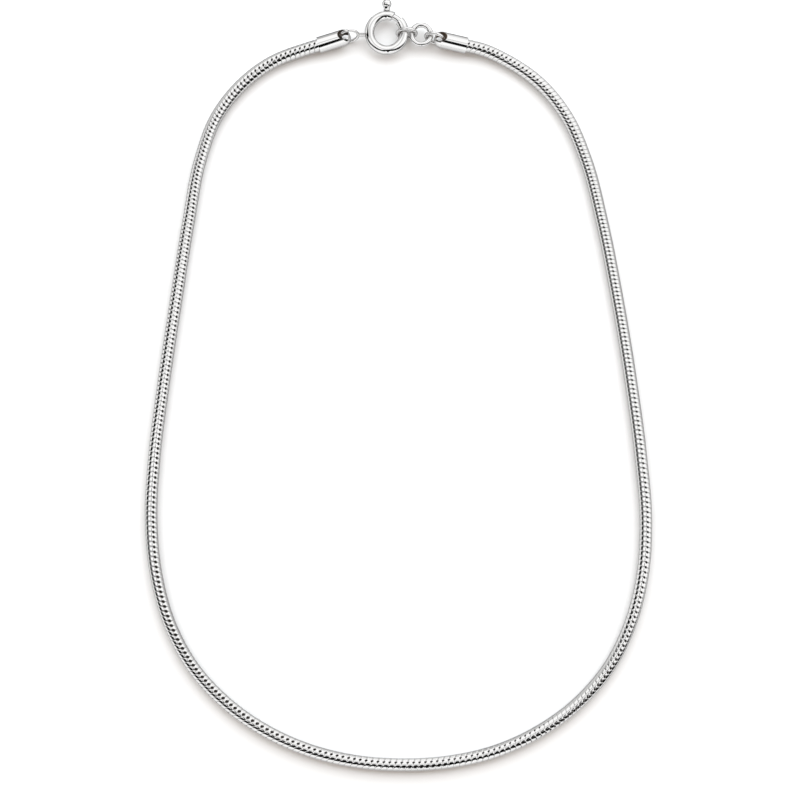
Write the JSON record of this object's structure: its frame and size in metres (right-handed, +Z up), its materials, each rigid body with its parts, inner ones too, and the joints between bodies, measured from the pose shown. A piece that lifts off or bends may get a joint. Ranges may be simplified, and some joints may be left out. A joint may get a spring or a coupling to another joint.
{
  "type": "snake chain necklace",
  "caption": "Closed necklace of round snake chain with tubular end caps, small links and a bolt ring clasp, lying flat in a rounded loop.",
  "frame": {"origin": "centre of the whole necklace's box, on the surface that it lies on", "axes": "+Y runs from the loop's far end to the clasp, +Z is up from the surface, and +X is to the right seen from above with the clasp at the top"},
  "size_m": [0.113, 0.1718, 0.0047],
  "materials": {
    "chain_silver": "polished",
    "clasp_silver": "polished"
  },
  "bodies": {
    "necklace": {"chain_left": "chain_silver", "chain_right": "chain_silver", "cap_left": "clasp_silver", "cap_right": "clasp_silver", "clasp_ring": "clasp_silver", "catch_link": "clasp_silver", "jump_ring": "clasp_silver", "cap_link": "clasp_silver"},
    "bolt": {"bolt": "clasp_silver"}
  },
  "joints": [
    {"name": "bolt_slide", "type": "hinge", "parent": "necklace", "child": "bolt", "pos_m": [-0.0026, 0.0784, 0.00235], "axis": [0, 0, 1], "range_deg": [0, 36], "stiffness_Nm_per_rad": 0.00003, "springref_deg": -34.38}
  ]
}
